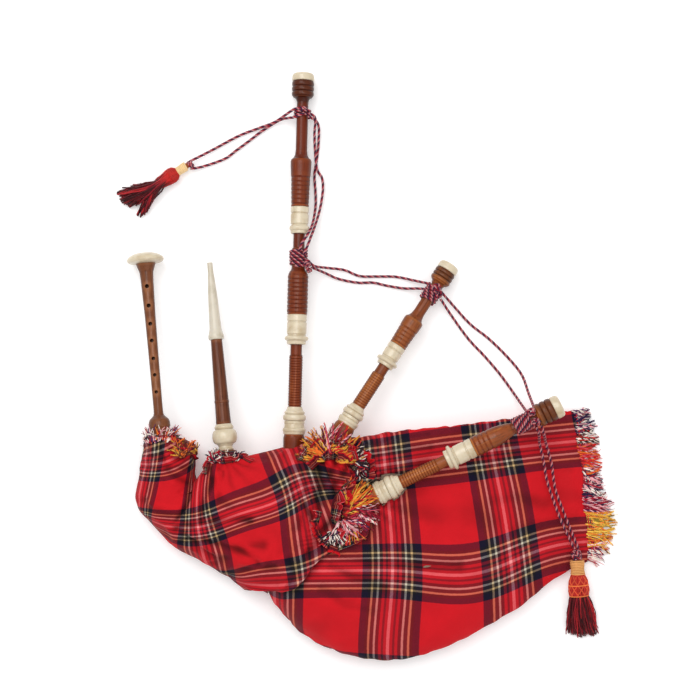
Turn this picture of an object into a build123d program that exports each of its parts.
from build123d import *
import math
import os
from typing import NamedTuple

# Highland bagpipes, junior size, laid flat. All values in millimetres.
# Origin: centre of the bag's flat resting face. +Z up, +Y along the bass drone,
# +X towards the rear of the bag.
# Turned parts are drawn as (s, r): s is the distance out along the pipe from the mouth
# of its stock (negative inside the bag), r is the radius.

# ---------------------------------------------------------------- driving dimensions
COVER_T = 2.5           # cloth cover thickness, with its lining
BLADDER_T = 2.0         # bladder wall
BAG_GAP = 1.5           # air gap between cover and bladder
COLLAR_T = 2.0          # cloth at the flared end of a collar or frill

STOCK_R = 13.6          # outside of a stock
GROOVE_R = 12.0         # bottom of a stock's tie-in groove
STOCK_BORE_R = 8.7      # bore of a drone stock
TENON_R = 8.0           # drone tenon that seats in a stock
TENON_HEMP_R = 8.65     # hemp lapping on a drone tenon
PIPE_STOCK_BORE_R = 9.1  # bore of the blowpipe and chanter stocks
PIPE_TENON_R = 8.2      # tenon of the blowpipe and chanter
PIPE_HEMP_R = 9.04      # hemp lapping on those tenons

PIN_R = 7.4             # tuning pin
HEMP_R = 7.95           # hemp lapping on a tuning pin
SOCKET_R = 8.0          # tuning socket
DRONE_BORE_R = 3.6      # sounding bore of the bottom joints
MIDDLE_BORE_R = DRONE_BORE_R + 0.5
TOP_BORE_R = 4.2        # bore of the top joints
BELL_CHAMBER_R = 6.5    # widened bore in the bell
BELL_BORE_R = 4.5       # hole in a bell cap
NARROW_R = 7.4          # narrow neck of a drone under its bell
MIDDLE_NECK_R = 8.6     # neck of the bass middle joint
FERRULE_SEAT_R = 9.4    # seat of a ferrule on a top joint
MIDDLE_SEAT_R = 9.6     # seat of the ferrule on the bass middle joint
SEAT_DEPTH = 0.9        # depth of a projecting mount's seat
JOINT_GAP = 0.1         # end gap between neighbouring turned pieces
BASS_PIN_END = 150.0
TENOR_1_PIN_END = 124.0
TENOR_2_PIN_END = 131.0

DRONE_REED_R = 3.2
DRONE_REED_BORE_R = 1.4
DRONE_REED_START, DRONE_REED_END = -62, -8

TUBE_BORE_R = 4.2       # bore of the blowpipe
TUBE_BASE_R, TUBE_TIP_R = 9.5, 7.3
TUBE_END = 141.8
FLAP_S = -36.1          # outer face of the valve flap
FLAP_T = 1.0
MOUTH_START, MOUTH_END = 142.0, 242.0
MOUTH_TIP_R = 3.6       # straight tip of the mouthpiece
MOUTH_TIP_L = 14.0      # length of that straight tip
MOUTH_BORE_R = 2.0      # bore of the mouthpiece

SOLE_R = 23.8           # chanter sole
SOLE_T = 13.0           # chanter sole thickness, with its domed end
SOLE_END = 225.1
SOLE_START = SOLE_END - SOLE_T
SOLE_BORE_R = 8.0       # chanter bore at the sole
CHANTER_END = 225.0
# Finger holes on the upper side: (s, radius)
FINGER_HOLES = [(182.0, 2.7), (157.0, 2.7), (133.6, 2.6), (112.0, 2.5),
                (89.0, 2.4), (67.9, 2.3), (46.0, 2.2)]
THUMB_HOLE = (36.0, 2.2)  # on the underside

CORD_R = 1.9            # radius of one drone cord
WRAP_GAP = 0.02         # gap between a cord wrap and the neck inside it

ON_BASE = (Align.CENTER, Align.CENTER, Align.MIN)
FROM_SIDE = (Align.MIN, Align.CENTER, Align.MIN)

# Pipe axes: the point at the mouth of the stock, then a point further out along the pipe
BASS_AXIS = ((-175.5, 139.1, 39.5), (-164.2, 602.0, 15.6))
TENOR_1_AXIS = ((-109.1, 151.4, 42.0), (27.7, 360.6, 15.6))
TENOR_2_AXIS = ((-70.4, 66.5, 78.5), (161.4, 179.7, 91.0))
CHANTER_AXIS = ((-346.5, 147.5, 42.0), (-367.3, 365.3, 24.6))
BLOWPIPE_AXIS = ((-262.1, 119.6, 44.0), (-284.7, 361.0, 20.0))
DRONE_AXES = (BASS_AXIS, TENOR_1_AXIS, TENOR_2_AXIS)

os.makedirs("parts", exist_ok=True)


# ---------------------------------------------------------------- helpers
def save(name, *solids):
    shape = solids[0] if len(solids) == 1 else Compound(list(solids))
    export_step(shape, "parts/" + name + ".step")


def largest(shape):
    return max(shape.solids(), key=lambda solid: solid.volume)


def cut_all(shape, cutters):
    for cutter in cutters:
        shape = shape - cutter
    return shape


def frame_of(axis):
    """Plane whose Z runs out along the axis and whose X is its upper side."""
    start, end = Vector(*axis[0]), Vector(*axis[1])
    along = (end - start).normalized()
    up = Vector(0, 0, 1) - along * along.Z
    return Plane(origin=start, x_dir=up.normalized(), z_dir=along)


def place(solid, axis):
    return solid.moved(frame_of(axis).location)


def rod(axis, radius, start, end):
    return place(Pos(0, 0, start) * Cylinder(radius, end - start, align=ON_BASE), axis)


def turned(outer, inner):
    """Turned piece from (s, r) lists in rising s; inner may be a single bore radius."""
    if isinstance(inner, (int, float)):
        inner = [(outer[0][0], inner), (outer[-1][0], inner)]
    points = [(r, 0, s) for s, r in outer] + [(r, 0, s) for s, r in reversed(inner)]
    clean = [points[0]]
    for point in points[1:]:
        # Profiles built from joined runs may repeat a point
        if abs(point[0] - clean[-1][0]) + abs(point[2] - clean[-1][2]) > 1e-4:
            clean.append(point)
    return revolve(make_face(Polyline(*clean, close=True)), axis=Axis.Z).solid()


def bead(start, end, base, height, steps=6):
    """Half-round bead standing on radius base."""
    return [(start + (end - start) * (1 - math.cos(math.pi * k / steps)) / 2,
             base + height * math.sin(math.pi * k / steps)) for k in range(steps + 1)]


def comb(start, end, start_r, end_r, pitch=3.4, depth=0.6):
    """Combing: fine V grooves along a tapered length."""
    count = max(1, int(round((end - start) / pitch)))
    step = (end - start) / count
    points = []
    for k in range(count):
        s = start + k * step
        r = start_r + (end_r - start_r) * (s - start) / (end - start)
        points += [(s, r - depth), (s + 0.22 * step, r), (s + 0.78 * step, r)]
    points.append((end, end_r - depth))
    return points


def wrap(start, end, inner_r, outer_r, coils):
    """A cord wound round a pipe: one rounded ridge per turn."""
    step = (end - start) / coils
    outer = [(start, outer_r - 0.9)]
    for k in range(coils):
        s = start + k * step
        outer += [(s + 0.18 * step, outer_r - 0.35), (s + 0.5 * step, outer_r),
                  (s + 0.82 * step, outer_r - 0.35), (s + step, outer_r - 0.9)]
    return turned(outer, inner_r)


def lapping(start, end, inner_r, outer_r, edge_drop=0.25):
    """Hemp lapping, slightly thinner at its two edges."""
    return turned([(start, outer_r - edge_drop), (start + 1, outer_r),
                   (end - 1, outer_r), (end, outer_r - edge_drop)], inner_r)


# ---------------------------------------------------------------- stocks
class Stock(NamedTuple):
    axis: tuple
    inner_end: float
    outer_end: float
    bore_r: float
    groove: float  # centre of the tie-in groove


STOCKS = {
    "bass": Stock(BASS_AXIS, -75, 0, STOCK_BORE_R, -34),
    "tenor_1": Stock(TENOR_1_AXIS, -65, 0, STOCK_BORE_R, -30),
    "tenor_2": Stock(TENOR_2_AXIS, -65, 0, STOCK_BORE_R, -34),
    "blowpipe": Stock(BLOWPIPE_AXIS, -62, -1, PIPE_STOCK_BORE_R, -26),
    "chanter": Stock(CHANTER_AXIS, -58, -0.3, PIPE_STOCK_BORE_R, -24),
}


def stock_body(stock):
    end, groove = stock.outer_end, stock.groove
    outer = [(stock.inner_end, STOCK_R - 2.0), (stock.inner_end + 4, STOCK_R - 0.6),
             (groove - 5, STOCK_R - 0.6), (groove - 4.4, GROOVE_R),
             (groove + 4.4, GROOVE_R), (groove + 5, STOCK_R - 0.4),
             (end - 8, STOCK_R), (end - 4, STOCK_R), (end, STOCK_R - 1.2)]
    return place(turned(outer, stock.bore_r), stock.axis)


def tie_in_binding(stock):
    binding = wrap(stock.groove - 4.2, stock.groove + 4.2, GROOVE_R, STOCK_R - 0.1, coils=6)
    return place(binding, stock.axis)


def stock_ferrule(axis, end, r):
    outer = [(0, r - 1.0), (0.8, r - 0.2), (3.2, r)] + bead(3.2, 8.0, r, 0.9)
    outer += [(8.4, r - 0.6), (end - 4, r - 1.4), (end - 3.4, r - 0.8),
              (end - 0.6, r - 0.8), (end, r - 1.4)]
    return place(turned(outer, STOCK_BORE_R), axis)


for stock_name, stock in STOCKS.items():
    save(stock_name + "_stock", stock_body(stock))
save("stock_tie_in_bindings", *[tie_in_binding(stock) for stock in STOCKS.values()])
save("stock_ferrules", stock_ferrule(BASS_AXIS, 17.3, 13.9),
     stock_ferrule(TENOR_1_AXIS, 13.0, 13.2), stock_ferrule(TENOR_2_AXIS, 15.0, 14.2))

# ---------------------------------------------------------------- bag
# Sections from the neck mouth to the rear seam: x, y of the edge on the drones' side,
# x, y of the opposite edge, crown height, rim height, sag of the belly below z = 0.
BAG_STATIONS = [
    (-298.6, 122.8, -363.9, 131.8, 72, 33, 3),
    (-299.9, 93.3, -369.1, 93.3, 74, 33, 4),
    (-299.8, 65.3, -372.8, 51.2, 76, 34, 5),
    (-292.1, 83.2, -327.9, -2.5, 80, 35, 6),
    (-283.0, 106.3, -295.8, -19.0, 83, 36, 7),
    (-238.1, 109.0, -238.1, -50.7, 88, 38, 8),
    (-187.0, 119.4, -203.6, -69.5, 94, 40, 8),
    (-129.5, 132.2, -167.8, -110.1, 100, 42, 9),
    (-78.5, 137.2, -110.4, -141.0, 90, 40, 9),
    (-14.3, 144.5, -39.9, -150.1, 66, 32, 8),
    (49.9, 150.8, 30.7, -128.9, 60, 29, 8),
    (114.6, 158.3, 108.2, -87.3, 50, 24, 7),
    (167.3, 166.9, 167.3, -44.9, 28, 14, 5),
    (188.0, 169.1, 207.4, -25.5, 8, 4, 1.5),
]
NECK_STEP = 30.0        # nominal distance between the first two stations
RING_POINTS = 16
BLADDER_INSET = COVER_T + BAG_GAP

# Plan outline (x, y) of the fringe along the rear closing seam
REAR_FRINGE = [
    (190.9, 167.8), (203.2, 130.2), (208.4, 91.3), (211.0, 52.4), (212.3, 13.4),
    (211.0, -28.1), (226.9, -32.0), (239.9, 4.3), (242.5, 27.7), (236.0, 52.4),
    (226.9, 78.3), (221.7, 110.7), (217.8, 140.6), (207.4, 175.6),
]


def bag_ring(station, inset):
    """Points round one cross-section, with the belly flattened at z = inset."""
    x0, y0, x1, y1, crown, rim, sag = station
    half = math.hypot(x0 - x1, y0 - y1) / 2
    centre_x, centre_y = (x0 + x1) / 2, (y0 + y1) / 2
    across_x, across_y = (x0 - x1) / 2 / half, (y0 - y1) / 2 / half
    points = []
    for k in range(RING_POINTS):
        angle = 2 * math.pi * (k + 0.5) / RING_POINTS
        reach, rise = (half - inset) * math.cos(angle), math.sin(angle)
        z = rim + ((crown - inset - rim) if rise >= 0 else (rim + sag)) * rise
        points.append((centre_x + reach * across_x, centre_y + reach * across_y,
                       max(inset, z)))
    return points


def polygon(points):
    return Face(Wire.make_polygon([Vector(*point) for point in points]))


def flat_sliver(triangle, floor):
    """True for a triangle on the floor with two corners at the same place."""
    corners = {(round(x, 4), round(y, 4)) for x, y, z in triangle}
    return max(z for x, y, z in triangle) <= floor + 1e-9 and len(corners) < 3


def bag_body(inset, neck_trim=0, station_count=13):
    """Closed faceted body through the first stations, its neck end moved in by neck_trim."""
    stations = list(BAG_STATIONS[:station_count])
    share = neck_trim / NECK_STEP
    stations[0] = tuple(a + (b - a) * share for a, b in zip(stations[0], stations[1]))
    rings = [bag_ring(station, inset) for station in stations]
    faces = [polygon(rings[0]), polygon(rings[-1])]
    for ring, following in zip(rings, rings[1:]):
        for k in range(RING_POINTS):
            m = (k + 1) % RING_POINTS
            for triangle in ((ring[k], ring[m], following[m]),
                             (ring[k], following[m], following[k])):
                if not flat_sliver(triangle, inset):
                    faces.append(polygon(triangle))
    body = Solid(Shell(faces))
    if body.volume < 0:  # the shell may close inside out
        body = Solid(body.wrapped.Reversed())
    return body


def stock_hole(stock_name, radius, outer_end=60):
    """Cutter round a stock, from 3 mm beyond its inner end."""
    stock = STOCKS[stock_name]
    return rod(stock.axis, radius, stock.inner_end - 3, outer_end)


cover_outside = bag_body(0, station_count=14)
cover_inside = bag_body(COVER_T, neck_trim=3)
bladder_outside = bag_body(BLADDER_INSET, neck_trim=5)
bladder_inside = bag_body(BLADDER_INSET + BLADDER_T, neck_trim=8)

cover_holes = [stock_hole("bass", 15.6), stock_hole("tenor_1", 15.6),
               stock_hole("tenor_2", 17.4, outer_end=110),
               stock_hole("chanter", 15.0), stock_hole("blowpipe", 15.0)]
# The bladder hole for tenor 2 is stepped: wide outside, close to the stock inside
bladder_holes = [stock_hole("bass", 14.0), stock_hole("tenor_1", 14.0),
                 rod(TENOR_2_AXIS, 17.4, -40, 110),
                 stock_hole("tenor_2", 14.0, outer_end=-30),
                 stock_hole("chanter", 14.0), stock_hole("blowpipe", 14.0)]
save("bag_cover", largest(cut_all(cover_outside - cover_inside, cover_holes)))
save("bag_bladder",
     largest(cut_all((bladder_outside & cover_inside) - bladder_inside, bladder_holes)))

fringe_sheet = Pos(0, 0, 2.4) * extrude(make_face(Polyline(*REAR_FRINGE, close=True)),
                                        amount=3.2)
save("rear_fringe", (fringe_sheet.solid() - cover_outside).solids()[0])


def collar(axis, start, end, bore_r, start_r, end_r):
    """Cloth sleeve that flares round a stock and ends on the cover."""
    outer = [(start, start_r + COLLAR_T), (end - 3, end_r + COLLAR_T), (end, end_r + COLLAR_T)]
    inner = [(start, bore_r), (start + 0.55 * (end - start), bore_r + 0.4), (end, end_r)]
    return largest(place(turned(outer, inner), axis) - cover_outside)


save("tenor_1_collar_fringe", collar(TENOR_1_AXIS, -22, 8, 15.0, 17.0, 25.0))
save("tenor_2_collar_fringe", collar(TENOR_2_AXIS, -30, 2, 15.0, 19.0, 30.0))
save("neck_frill", collar(CHANTER_AXIS, -16, -1, 15.4, 17.0, 20.0))
save("blowpipe_frill", collar(BLOWPIPE_AXIS, -14, 0, 15.4, 17.0, 21.0))


# ---------------------------------------------------------------- drones
def projecting_mount(start, end, bore_r, r):
    """Bold rounded ring that tapers to the joint."""
    length = end - start
    outer = [(start, r - 1.2), (start + 0.5, r - 0.4)]
    outer += bead(start + 0.5, start + 0.42 * length, r - 0.4, 1.3)
    outer += [(start + 0.46 * length, r - 1.6)]
    outer += bead(start + 0.5 * length, start + 0.66 * length, r - 1.4, 0.7, steps=4)
    outer += [(start + 0.72 * length, r - 2.6), (start + 0.86 * length, r - 3.6),
              (end - 1.6, r - 3.9), (end, r - 4.3)]
    return turned(outer, bore_r)


def save_bottom(drone, axis, mount_start, mount_end, mount_r, body_r, body_end,
                socket_start, pin_end):
    """Bottom joint (tenon, mount seat, combed body and tuning pin) and its mount."""
    seat_r = body_r - SEAT_DEPTH
    outer = [(-20.0, TENON_R), (mount_start, TENON_R), (mount_start + 0.01, seat_r),
             (mount_end, seat_r), (mount_end + 0.01, body_r)]
    outer += comb(mount_end + 1.5, body_end - 1.0, body_r, body_r)
    outer += [(body_end, body_r), (body_end + 0.6, PIN_R), (socket_start, PIN_R),
              (pin_end - 1.5, PIN_R), (pin_end, PIN_R - 1.0)]
    save(drone + "_bottom_joint", place(turned(outer, DRONE_BORE_R), axis))
    mount = projecting_mount(mount_start + JOINT_GAP, mount_end - JOINT_GAP, seat_r, mount_r)
    save(drone + "_projecting_mount", place(mount, axis))


def ferrule(start, end, bore_r, r, rim_r, rim_at):
    """Ferrule with a bold rim (rim_at from its start), a groove and a second band."""
    rim = start + rim_at
    band = end - 0.28 * (end - start)
    band_end = end - 0.22 * (end - start)
    outer = [(start, r - 1.3), (start + 0.8, r - 0.4), (rim - 3.0, r - 0.2)]
    outer += bead(rim - 2.8, rim + 2.8, r, rim_r - r)
    outer += [(rim + 3.2, r - 0.6), (rim + 5.2, r - 1.1), (rim + 6.0, r - 0.1),
              (band, r), (band + 0.6, r - 0.8), (band_end, r - 0.8), (band_end + 0.6, r),
              (end - 1.0, r), (end, r - 0.8)]
    return turned(outer, bore_r)


def bell_profile(start, end, r):
    """Three rounded ribs of the bell."""
    pitch = (end - start - 3.0) / 3.0
    points = [(start, 9.5), (start + 1.2, r - 2.2), (start + 2.4, r - 1.4)]
    for k in range(3):
        rib = start + 2.6 + k * pitch
        points += bead(rib, rib + pitch * 0.94, r - 1.5 + 0.25 * k, 1.5 - 0.25 * k)
    return points[:-1] + [(end - 0.2, r - 1.2), (end, r - 1.2)]


def bell_cap(start, end, r):
    outer = [(start, r - 0.8), (start + 0.9, r), (start + 2.6, r + 0.1), (end - 3.4, r - 0.1),
             (end - 1.7, r - 0.8), (end - 0.5, r - 2.2), (end, r - 4.0)]
    return turned(outer, BELL_BORE_R)


def save_top(drone, axis, ferrule_name, seat, ferrule_size, body, bell, cap,
             socket_depth, end_bore):
    """Top joint with its ferrule and bell cap.

    seat: (start, end); ferrule_size: (radius, rim radius, rim distance from the start);
    body: (s, r) points between seat and bell; bell: (start, end, radius);
    cap: (end, radius); end_bore: length of the chamber in the bell.
    """
    start, seat_end = seat
    bell_end = bell[1]
    socket_end = start + socket_depth
    outer = [(start, FERRULE_SEAT_R), (seat_end, FERRULE_SEAT_R)] + body + bell_profile(*bell)
    inner = [(start, SOCKET_R), (socket_end, SOCKET_R), (socket_end + 3, TOP_BORE_R),
             (bell_end - end_bore, TOP_BORE_R), (bell_end - end_bore + 6, BELL_CHAMBER_R),
             (bell_end, BELL_CHAMBER_R)]
    save(drone + "_top_joint", place(turned(outer, inner), axis))
    ring = ferrule(start, seat_end - JOINT_GAP, FERRULE_SEAT_R, *ferrule_size)
    save(ferrule_name, place(ring, axis))
    save(drone + "_bell_cap", place(bell_cap(bell_end + JOINT_GAP, *cap), axis))


# Bass drone
save_bottom("bass", BASS_AXIS, mount_start=17.5, mount_end=35.3, mount_r=13.9,
            body_r=8.7, body_end=101.0, socket_start=115.0, pin_end=BASS_PIN_END)

# The middle joint carries a tuning pin of its own
middle_outer = [(115.0, MIDDLE_SEAT_R), (153.6, MIDDLE_SEAT_R), (153.61, 12.4), (155, 13.0)]
middle_outer += comb(156, 204, 13.2, 13.2, pitch=5.2, depth=0.7)
middle_outer += [(205, 12.6), (208, 11.4), (210.5, 9.6), (213.0, MIDDLE_NECK_R),
                 (238.4, MIDDLE_NECK_R), (239.6, PIN_R), (255, PIN_R), (290.5, PIN_R),
                 (292, PIN_R - 1.0)]
middle_inner = [(115.0, SOCKET_R), (166, SOCKET_R), (169, MIDDLE_BORE_R), (292, MIDDLE_BORE_R)]
save("bass_middle_joint", place(turned(middle_outer, middle_inner), BASS_AXIS))
save("bass_middle_ferrule",
     place(ferrule(115.0, 153.5, MIDDLE_SEAT_R, 12.6, 15.4, 7.8), BASS_AXIS))
save("bass_middle_hemp", place(lapping(268, 288, PIN_R, HEMP_R, edge_drop=0.2), BASS_AXIS))
save("bass_cord_wrap", place(wrap(214.0, 237.6, MIDDLE_NECK_R + WRAP_GAP, 11.9, 6), BASS_AXIS))

save_top("bass", BASS_AXIS, "bass_top_ferrule", seat=(257.5, 292.3),
         ferrule_size=(11.5, 12.9, 7.0),
         body=[(292.4, 11.0), (294, 11.6)] + comb(296, 330, 11.4, 12.4, pitch=5.6)
         + [(332, 12.6), (345, 13.3), (351, 13.5), (353.4, 12.8), (355.5, 10.0), (359, 8.2),
            (366, NARROW_R), (428, NARROW_R), (431, 8.4)],
         bell=(433.0, 455.4, 14.3), cap=(465.5, 14.2), socket_depth=52, end_bore=20)

# Tenor 1
save_bottom("tenor_1", TENOR_1_AXIS, mount_start=13.2, mount_end=28.5, mount_r=13.6,
            body_r=8.9, body_end=77.0, socket_start=90.0, pin_end=TENOR_1_PIN_END)
save_top("tenor_1", TENOR_1_AXIS, "tenor_1_ferrule", seat=(90.0, 121.5),
         ferrule_size=(11.5, 14.6, 7.0),
         body=[(121.6, 10.9), (123, 11.4)] + comb(125, 146, 11.4, 12.3, pitch=5.2)
         + [(148, 12.5), (158, 12.9), (161, 12.4), (163.5, 9.8), (167, 8.2),
            (173, NARROW_R), (214, NARROW_R), (216.5, 8.6)],
         bell=(218.5, 237.4, 13.6), cap=(247.5, 13.4), socket_depth=50, end_bore=18)
save("tenor_1_cord_wrap", place(wrap(190.0, 213.6, NARROW_R + WRAP_GAP, 11.4, 6), TENOR_1_AXIS))

# Tenor 2
save_bottom("tenor_2", TENOR_2_AXIS, mount_start=15.2, mount_end=33.5, mount_r=14.2,
            body_r=8.4, body_end=84.0, socket_start=97.0, pin_end=TENOR_2_PIN_END)
save_top("tenor_2", TENOR_2_AXIS, "tenor_2_ferrule", seat=(97.0, 134.5),
         ferrule_size=(12.5, 16.2, 8.0),
         body=[(134.6, 12.2), (136, 12.8)] + comb(138, 156, 12.8, 12.4, pitch=5.2)
         + [(158, 12.4), (166, 12.2), (172, 11.4), (180, 9.8), (185, 8.6),
            (188, NARROW_R), (218, NARROW_R), (220, 8.6)],
         bell=(221.5, 245.4, 14.8), cap=(256.0, 14.4), socket_depth=50, end_bore=18)
save("tenor_2_cord_wrap", place(wrap(190.0, 216.6, NARROW_R + WRAP_GAP, 11.4, 7), TENOR_2_AXIS))

# Hemp lappings of the bottom joints: one on each tenon, one on each tuning pin
lappings = []
for axis, pin_end in zip(DRONE_AXES, (BASS_PIN_END, TENOR_1_PIN_END, TENOR_2_PIN_END)):
    lappings.append(place(lapping(-16, 10, TENON_R, TENON_HEMP_R), axis))
    lappings.append(place(lapping(pin_end - 24, pin_end - 4, PIN_R, HEMP_R), axis))
save("drone_hemp_lappings", *lappings)


def drone_reed_body():
    """Reed tube, plugged at its inner end and cut flat under the tongue."""
    tube = turned([(DRONE_REED_START, DRONE_REED_R - 0.6), (-61, DRONE_REED_R),
                   (-22, DRONE_REED_R), (-20.2, DRONE_REED_R), (-20.0, DRONE_BORE_R - 0.05),
                   (DRONE_REED_END, DRONE_BORE_R - 0.1)], DRONE_REED_BORE_R)
    plug = Pos(0, 0, DRONE_REED_START) * Cylinder(DRONE_REED_BORE_R, 3, align=ON_BASE)
    flat = Pos(DRONE_REED_R - 0.7, 0, -56) * Box(3, 8, 30, align=FROM_SIDE)
    return ((tube + plug) - flat).solid()


def drone_reed_tongue():
    return Pos(DRONE_REED_R - 0.68, 0, -55.8) * Box(0.6, 3.0, 29.6, align=FROM_SIDE)


def drone_reed_bridle():
    return turned([(-34, 4.3), (-33.4, 4.6), (-32.4, 4.6), (-31.8, 4.3)], 3.55)


# Drone reeds, seated in the foot of each bottom joint
save("drone_reed_bodies", *[place(drone_reed_body(), axis) for axis in DRONE_AXES])
save("drone_reed_tongues", *[place(drone_reed_tongue(), axis) for axis in DRONE_AXES])
save("drone_reed_bridles", *[place(drone_reed_bridle(), axis) for axis in DRONE_AXES])


# ---------------------------------------------------------------- blowpipe
def blowpipe_tube():
    outer = [(-30, PIPE_TENON_R), (4.4, PIPE_TENON_R), (4.41, PIPE_TENON_R),
             (33.0, PIPE_TENON_R), (33.01, TUBE_BASE_R), (36, TUBE_BASE_R + 0.3),
             (38, TUBE_BASE_R), (60, 9.0), (61, 9.4), (63, 9.4), (64, 8.9), (100, 8.2),
             (132, TUBE_TIP_R + 0.2), (TUBE_END, TUBE_TIP_R)]
    return turned(outer, TUBE_BORE_R)


def blowpipe_mount():
    """Ball mount between two small collars."""
    outer = [(-0.6, 9.6), (0.2, 10.2), (1.6, 10.2), (2.4, 9.2), (5.0, 8.8), (7.0, 10.4)]
    outer += bead(8.0, 26.0, 11.6, 4.4, steps=10)
    outer += [(27.0, 11.4), (28.0, 12.2), (30.0, 12.2), (31.0, 11.2), (33.0, 10.2)]
    return turned(outer, PIPE_TENON_R)


def valve_flap():
    """Disc with a small lug on its upper side."""
    inner_face = FLAP_S - FLAP_T
    disc = Pos(0, 0, inner_face) * Cylinder(6.4, FLAP_T, align=ON_BASE)
    lug = Pos(6.0, 0, inner_face) * Box(1.4, 5.0, FLAP_T, align=ON_BASE)
    return (disc + lug).solid()


def mouthpiece():
    outer = [(MOUTH_START, 9.2), (143.2, 9.9), (146.0, 10.1), (148.6, 9.6), (152.0, 8.6),
             (156.0, 7.7), (200, 5.9), (MOUTH_END - 4 - MOUTH_TIP_L, MOUTH_TIP_R + 0.6),
             (MOUTH_END - MOUTH_TIP_L, MOUTH_TIP_R), (MOUTH_END, MOUTH_TIP_R)]
    inner = [(MOUTH_START, 3.9), (150, 3.9), (153, MOUTH_BORE_R), (MOUTH_END, MOUTH_BORE_R)]
    return turned(outer, inner)


save("blowpipe_tube", place(blowpipe_tube(), BLOWPIPE_AXIS))
save("blowpipe_mount", place(blowpipe_mount(), BLOWPIPE_AXIS))
save("blowpipe_hemp", place(lapping(-24, -3, PIPE_TENON_R, PIPE_HEMP_R), BLOWPIPE_AXIS))
save("valve_seat", place(turned([(-36, 8.3), (-30.05, 8.3)], 4.6), BLOWPIPE_AXIS))
save("valve_flap", place(valve_flap(), BLOWPIPE_AXIS))
save("mouthpiece", place(mouthpiece(), BLOWPIPE_AXIS))


# ---------------------------------------------------------------- chanter
def side_hole(s, radius, turn):
    """Cutter from the chanter's axis: turn 90 reaches the upper side, -90 the underside."""
    return Pos(0, 0, s) * (Rot(0, turn, 0) * Cylinder(radius, 20, align=ON_BASE))


def chanter_pipe():
    outer = [(-22, PIPE_TENON_R), (0, PIPE_TENON_R), (0.01, 12.4), (1.5, 13.4), (3.0, 13.7),
             (8.0, 13.4), (11.0, 12.2), (13.5, 9.6), (16.0, 7.0), (19.0, 6.1), (28.7, 5.9),
             (86, 6.3), (143.6, 6.9), (190, 8.2), (201, 8.9), (SOLE_START - 8.6, 9.8),
             (SOLE_START - 4.0, 11.4), (SOLE_START - 0.2, 12.7), (SOLE_START - 0.1, 9.2),
             (CHANTER_END, 9.2)]
    bore = [(-22, 3.0), (-8, 2.6), (0, 2.0), (40, 2.4), (143.6, 4.6), (201, 6.6), (219, 7.9),
            (CHANTER_END, SOLE_BORE_R)]
    holes = [side_hole(s, r, 90) for s, r in FINGER_HOLES] + [side_hole(*THUMB_HOLE, -90)]
    return cut_all(turned(outer, bore), holes).solid()


def chanter_sole():
    # (distance from the sole's start, r) of the domed rim
    dome = [(0.4, SOLE_R - 6.5), (1.4, SOLE_R - 2.4), (3.2, SOLE_R - 0.5), (5.2, SOLE_R),
            (7.4, SOLE_R - 0.9), (9.8, SOLE_R - 3.6), (11.8, SOLE_R - 7.6),
            (12.8, SOLE_R - 10.8)]
    outer = [(SOLE_START, 13.2)] + [(SOLE_START + s, r) for s, r in dome] + [(SOLE_END, 12.0)]
    return turned(outer, 9.25)


def chanter_reed():
    """Staple, two blades and the binding ring at their foot."""
    staple = turned([(-36, 1.9), (-22.1, 2.4), (-22.0, 2.7), (-9, 2.5)],
                    [(-36, 1.4), (-9, 1.8)])
    blades = [(Pos(side * 1.35, 0, -56) * Box(0.9, 9.0, 18.0, align=ON_BASE)).solid()
              for side in (1, -1)]
    ring = turned([(-38, 3.0), (-37.6, 3.4), (-36.4, 3.4), (-36.05, 3.0)], 0.9)
    return [staple, *blades, ring]


save("chanter_pipe", place(chanter_pipe(), CHANTER_AXIS))
save("chanter_sole", place(chanter_sole(), CHANTER_AXIS))
save("chanter_hemp", place(lapping(-18, -3, PIPE_TENON_R, PIPE_HEMP_R), CHANTER_AXIS))
save("chanter_reed", *[place(part, CHANTER_AXIS) for part in chanter_reed()])

# ---------------------------------------------------------------- cords
# Cord paths (x, y, z), two strands each
LEFT_TASSEL_CORDS = [
    [(-163.0, 556.0, 30), (-175.4, 556.9, 24), (-200.6, 542.7, 8), (-221.6, 535.1, 4),
     (-248.5, 524.8, 3.5), (-283.5, 505.9, 5), (-312.0, 490.7, 10)],
    [(-163.0, 550.9, 30), (-175.4, 546.9, 22), (-194.7, 545.0, 7), (-219.5, 530.2, 3.2),
     (-233.8, 519.2, 3.2), (-252.6, 505.3, 3.2), (-267.0, 494.9, 3.2), (-296.0, 484.6, 5),
     (-310.0, 481.6, 10)],
]
BASS_RUN_CORDS = [
    [(-159.1, 552.2, 30), (-151.0, 545.6, 22), (-151.2, 525.0, 12), (-151.9, 503.2, 10),
     (-146.7, 481.2, 10), (-140.5, 470.4, 8), (-137.7, 458.3, 6), (-139.0, 442.8, 6),
     (-142.2, 426.4, 8), (-146.6, 402.4, 16), (-152.2, 384.7, 30)],
    [(-160.4, 548.3, 30), (-146.2, 539.1, 16), (-145.0, 516.4, 6), (-145.5, 496.1, 3.2),
     (-144.0, 474.1, 3.2), (-143.0, 450.8, 2.6), (-145.5, 426.7, 2.6), (-145.5, 405.7, 8),
     (-151.0, 389.0, 19)],
]
BASS_TO_TENOR_1_CORDS = [
    [(-156.3, 359.3, 38), (-148.5, 354.3, 30), (-131.5, 352.8, 12), (-111.8, 350.8, 5),
     (-91.9, 343.1, 3.2), (-69.6, 342.4, 3.2), (-44.7, 342.0, 3.2), (-20.1, 336.8, 10),
     (-2.8, 332.4, 24)],
    [(-153.2, 352.8, 32), (-136.4, 346.5, 12), (-119.2, 339.3, 5), (-94.4, 334.4, 3.2),
     (-74.5, 334.4, 3.2), (-57.3, 330.7, 3.2), (-34.9, 326.9, 6), (-15.5, 326.4, 14),
     (-1.3, 324.6, 24)],
]
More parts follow.
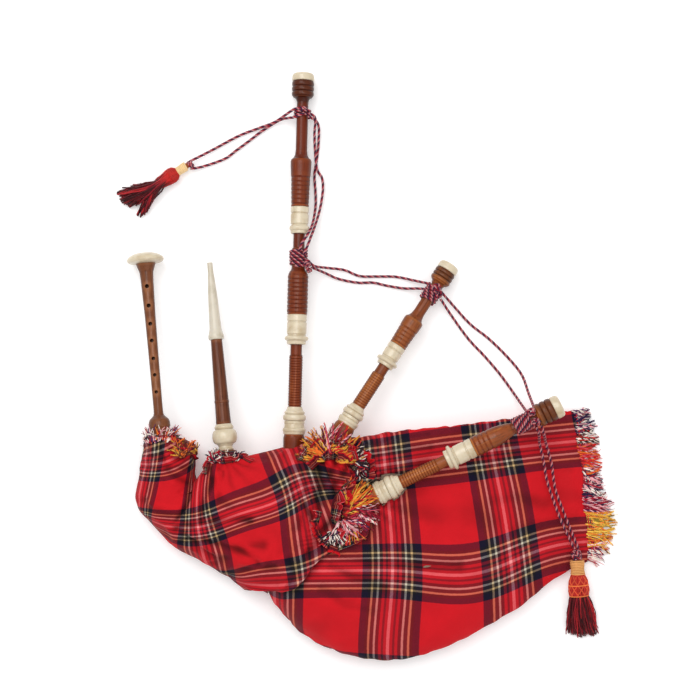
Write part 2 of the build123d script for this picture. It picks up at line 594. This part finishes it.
TENOR_1_TO_TENOR_2_CORDS = [
    [(12.5, 312.1, 26), (29.3, 288.4, 10), (49.6, 261.3, 4), (69.6, 240.0, 3.2),
     (89.4, 217.1, 3.2), (106.4, 193.0, 12), (115.8, 175.7, 45), (119.7, 165.4, 90)],
    [(13.9, 320.8, 26), (33.9, 299.5, 10), (52.8, 279.8, 4), (74.9, 262.6, 3.2),
     (98.3, 240.1, 3.2), (117.7, 215.4, 12), (124.0, 190.3, 45), (125.5, 174.7, 92)],
]
RIGHT_TASSEL_CORDS = [
    [(128.3, 151.1, 90), (132.7, 141.9, 80), (136.9, 127.2, 52), (142.8, 103.7, 46),
     (146.0, 84.5, 45), (151.5, 66.5, 43), (163.2, 35.3, 37), (173.9, 12.7, 30),
     (184.7, -8.9, 23)],
    [(134.5, 153.6, 90), (138.9, 141.9, 80), (145.3, 127.1, 50), (152.6, 103.4, 42),
     (155.4, 84.2, 41), (159.0, 66.2, 39), (171.4, 34.8, 32), (180.9, 12.1, 27),
     (190.3, -9.3, 21)],
]
LEFT_TASSEL_AXIS = ((-314.8, 485.7, 11.5), (-349.8, 464.3, 11.5))
RIGHT_TASSEL_AXIS = ((188.2, -13.7, 22.0), (195.2, -114.8, 12.6))
LEFT_PIVOT = (-313.0, 486.8)   # upright line the left tassel swings about
LEFT_KNOT_R = 7.8              # round knot at the head of the left tassel


def cord(path):
    line = Spline(*[Vector(*point) for point in path])
    start = Plane(origin=line @ 0, z_dir=line % 0)
    return sweep(start * Circle(CORD_R), path=line).solid()


def trimmed_cords(paths, *cutters):
    """Cords cut back to the pieces they meet; the longest length of each is kept."""
    return [largest(cut_all(cord(path), cutters)) for path in paths]


# Clearances round the pieces the cords meet
bass_loop_clear = rod(BASS_AXIS, 11.3, 380, 455)
bass_wrap_clear = rod(BASS_AXIS, 12.0, 205, 250)
tenor_1_wrap_clear = rod(TENOR_1_AXIS, 11.5, 180, 218)
tenor_2_wrap_clear = rod(TENOR_2_AXIS, 11.5, 180, 219.5)
tenor_2_bell_clear = rod(TENOR_2_AXIS, 15.6, 218, 250)
right_tassel_clear = rod(RIGHT_TASSEL_AXIS, 9.2, -2, 20)
left_knot_clear = Pos(*LEFT_PIVOT, 0) * Cylinder(LEFT_KNOT_R + 0.3, 40, align=ON_BASE)

bass_loop = place(wrap(407.0, 421.0, NARROW_R + WRAP_GAP, 11.2, 4), BASS_AXIS)
save("left_tassel_cord", bass_loop,
     *trimmed_cords(LEFT_TASSEL_CORDS, bass_loop_clear, left_knot_clear))
save("cord_bass_run", *trimmed_cords(BASS_RUN_CORDS, bass_loop_clear, bass_wrap_clear))
save("cord_bass_to_tenor_1",
     *trimmed_cords(BASS_TO_TENOR_1_CORDS, bass_wrap_clear, tenor_1_wrap_clear))
save("cord_tenor_1_to_tenor_2",
     *trimmed_cords(TENOR_1_TO_TENOR_2_CORDS, tenor_1_wrap_clear, tenor_2_wrap_clear,
                    tenor_2_bell_clear))
save("right_tassel_cord",
     *trimmed_cords(RIGHT_TASSEL_CORDS, tenor_2_wrap_clear, tenor_2_bell_clear,
                    right_tassel_clear))


# ---------------------------------------------------------------- tassels
def tassel_part(axis, profile, flatness):
    """Loft through ovals at (s, half width), flattened on the upper side and underside."""
    frame = frame_of(axis)
    ovals = [Plane(origin=frame.origin + frame.z_dir * s, x_dir=frame.x_dir,
                   z_dir=frame.z_dir) * Ellipse(r * flatness, r) for s, r in profile]
    return loft(ovals).solid()


left_head = tassel_part(LEFT_TASSEL_AXIS, [(-6, 6.0), (0, 7.2), (8, 7.6), (15, 8.6),
                                           (24, 11.5), (30, 12.5)], flatness=0.55)
left_knot = Pos(*LEFT_PIVOT, 6.3) * Cylinder(LEFT_KNOT_R, 10.0, align=ON_BASE)
save("left_tassel_head", (left_head + left_knot).solid())
save("left_tassel_skirt", tassel_part(
    LEFT_TASSEL_AXIS, [(30.2, 12.6), (45, 14.0), (60, 17.0), (78, 19.0)], flatness=0.55))
save("right_tassel_head", tassel_part(
    RIGHT_TASSEL_AXIS, [(0, 6.0), (8, 8.4), (20, 9.0), (31, 9.4), (42, 12.5), (56, 14.0)],
    flatness=0.54))
save("right_tassel_skirt", tassel_part(
    RIGHT_TASSEL_AXIS, [(56.2, 14.0), (70, 17.0), (90, 19.5), (106, 20.5)], flatness=0.54))
